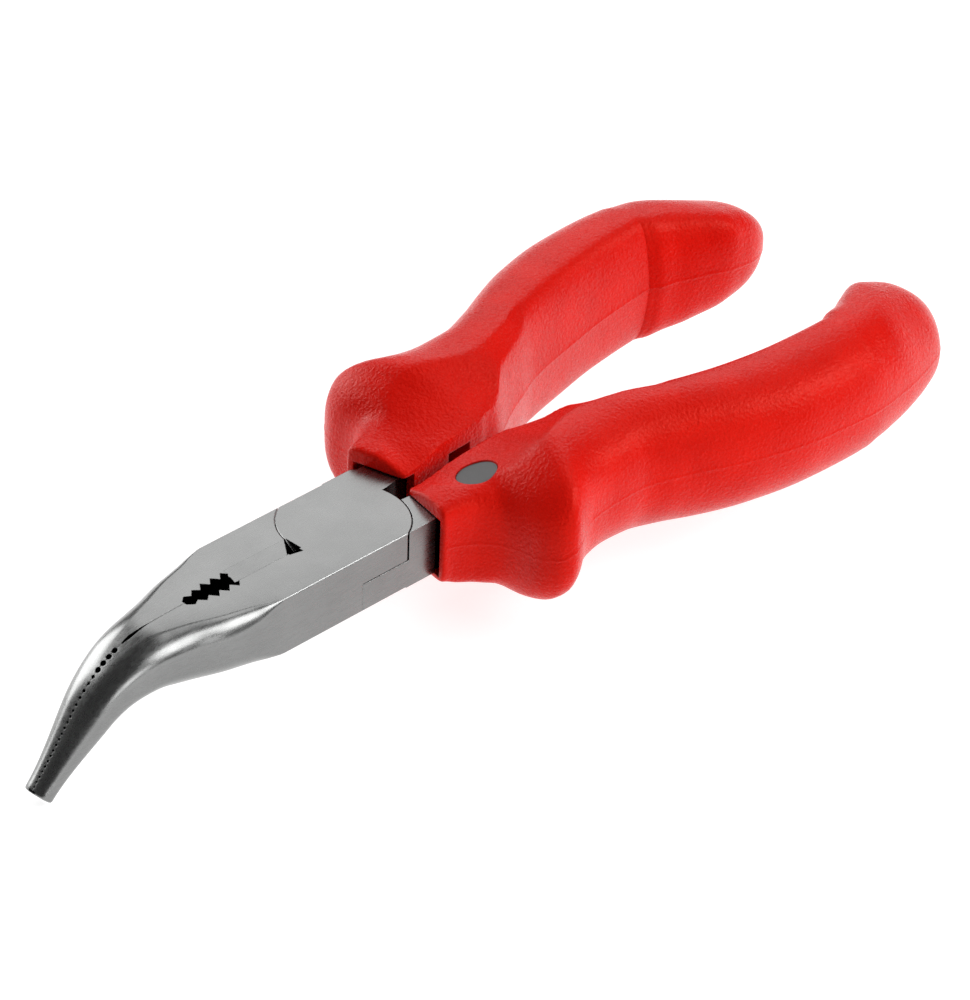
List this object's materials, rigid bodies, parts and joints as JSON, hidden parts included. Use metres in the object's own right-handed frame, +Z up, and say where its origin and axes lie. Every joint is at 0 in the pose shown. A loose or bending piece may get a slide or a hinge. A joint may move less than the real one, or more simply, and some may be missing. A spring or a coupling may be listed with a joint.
{
  "type": "bent nose pliers",
  "caption": "Bent long nose pliers with a ground steel lap-joint head, toothed jaws, a wire cutter and moulded red handle sleeves with finger guards.",
  "frame": {"origin": "pivot axis on the flat top face of the head", "axes": "+X from the pivot to the nose, along the closed jaws; +Z up along the pivot axis, out of the top face; +Y to the side of the jaw of half A"},
  "size_m": [0.1611, 0.0612, 0.0285],
  "materials": {
    "forged_steel": "satin ground flats, brighter polished nose",
    "rivet_steel": "ground flush",
    "sleeve_red": "semi-gloss with a fine spark-eroded grain",
    "plug_grey": "matt"
  },
  "bodies": {
    "half_a": {"jaw_half_a": "forged_steel", "pivot_rivet": "rivet_steel", "handle_sleeve_a": "sleeve_red", "sleeve_plug_a": "plug_grey"},
    "half_b": {"jaw_half_b": "forged_steel", "handle_sleeve_b": "sleeve_red", "sleeve_plug_b": "plug_grey"}
  },
  "joints": [
    {"name": "pivot", "type": "hinge", "parent": "half_a", "child": "half_b", "pos_m": [0, 0, -0.0045], "axis": [0, 0, 1], "range_deg": [-45, 0]}
  ]
}
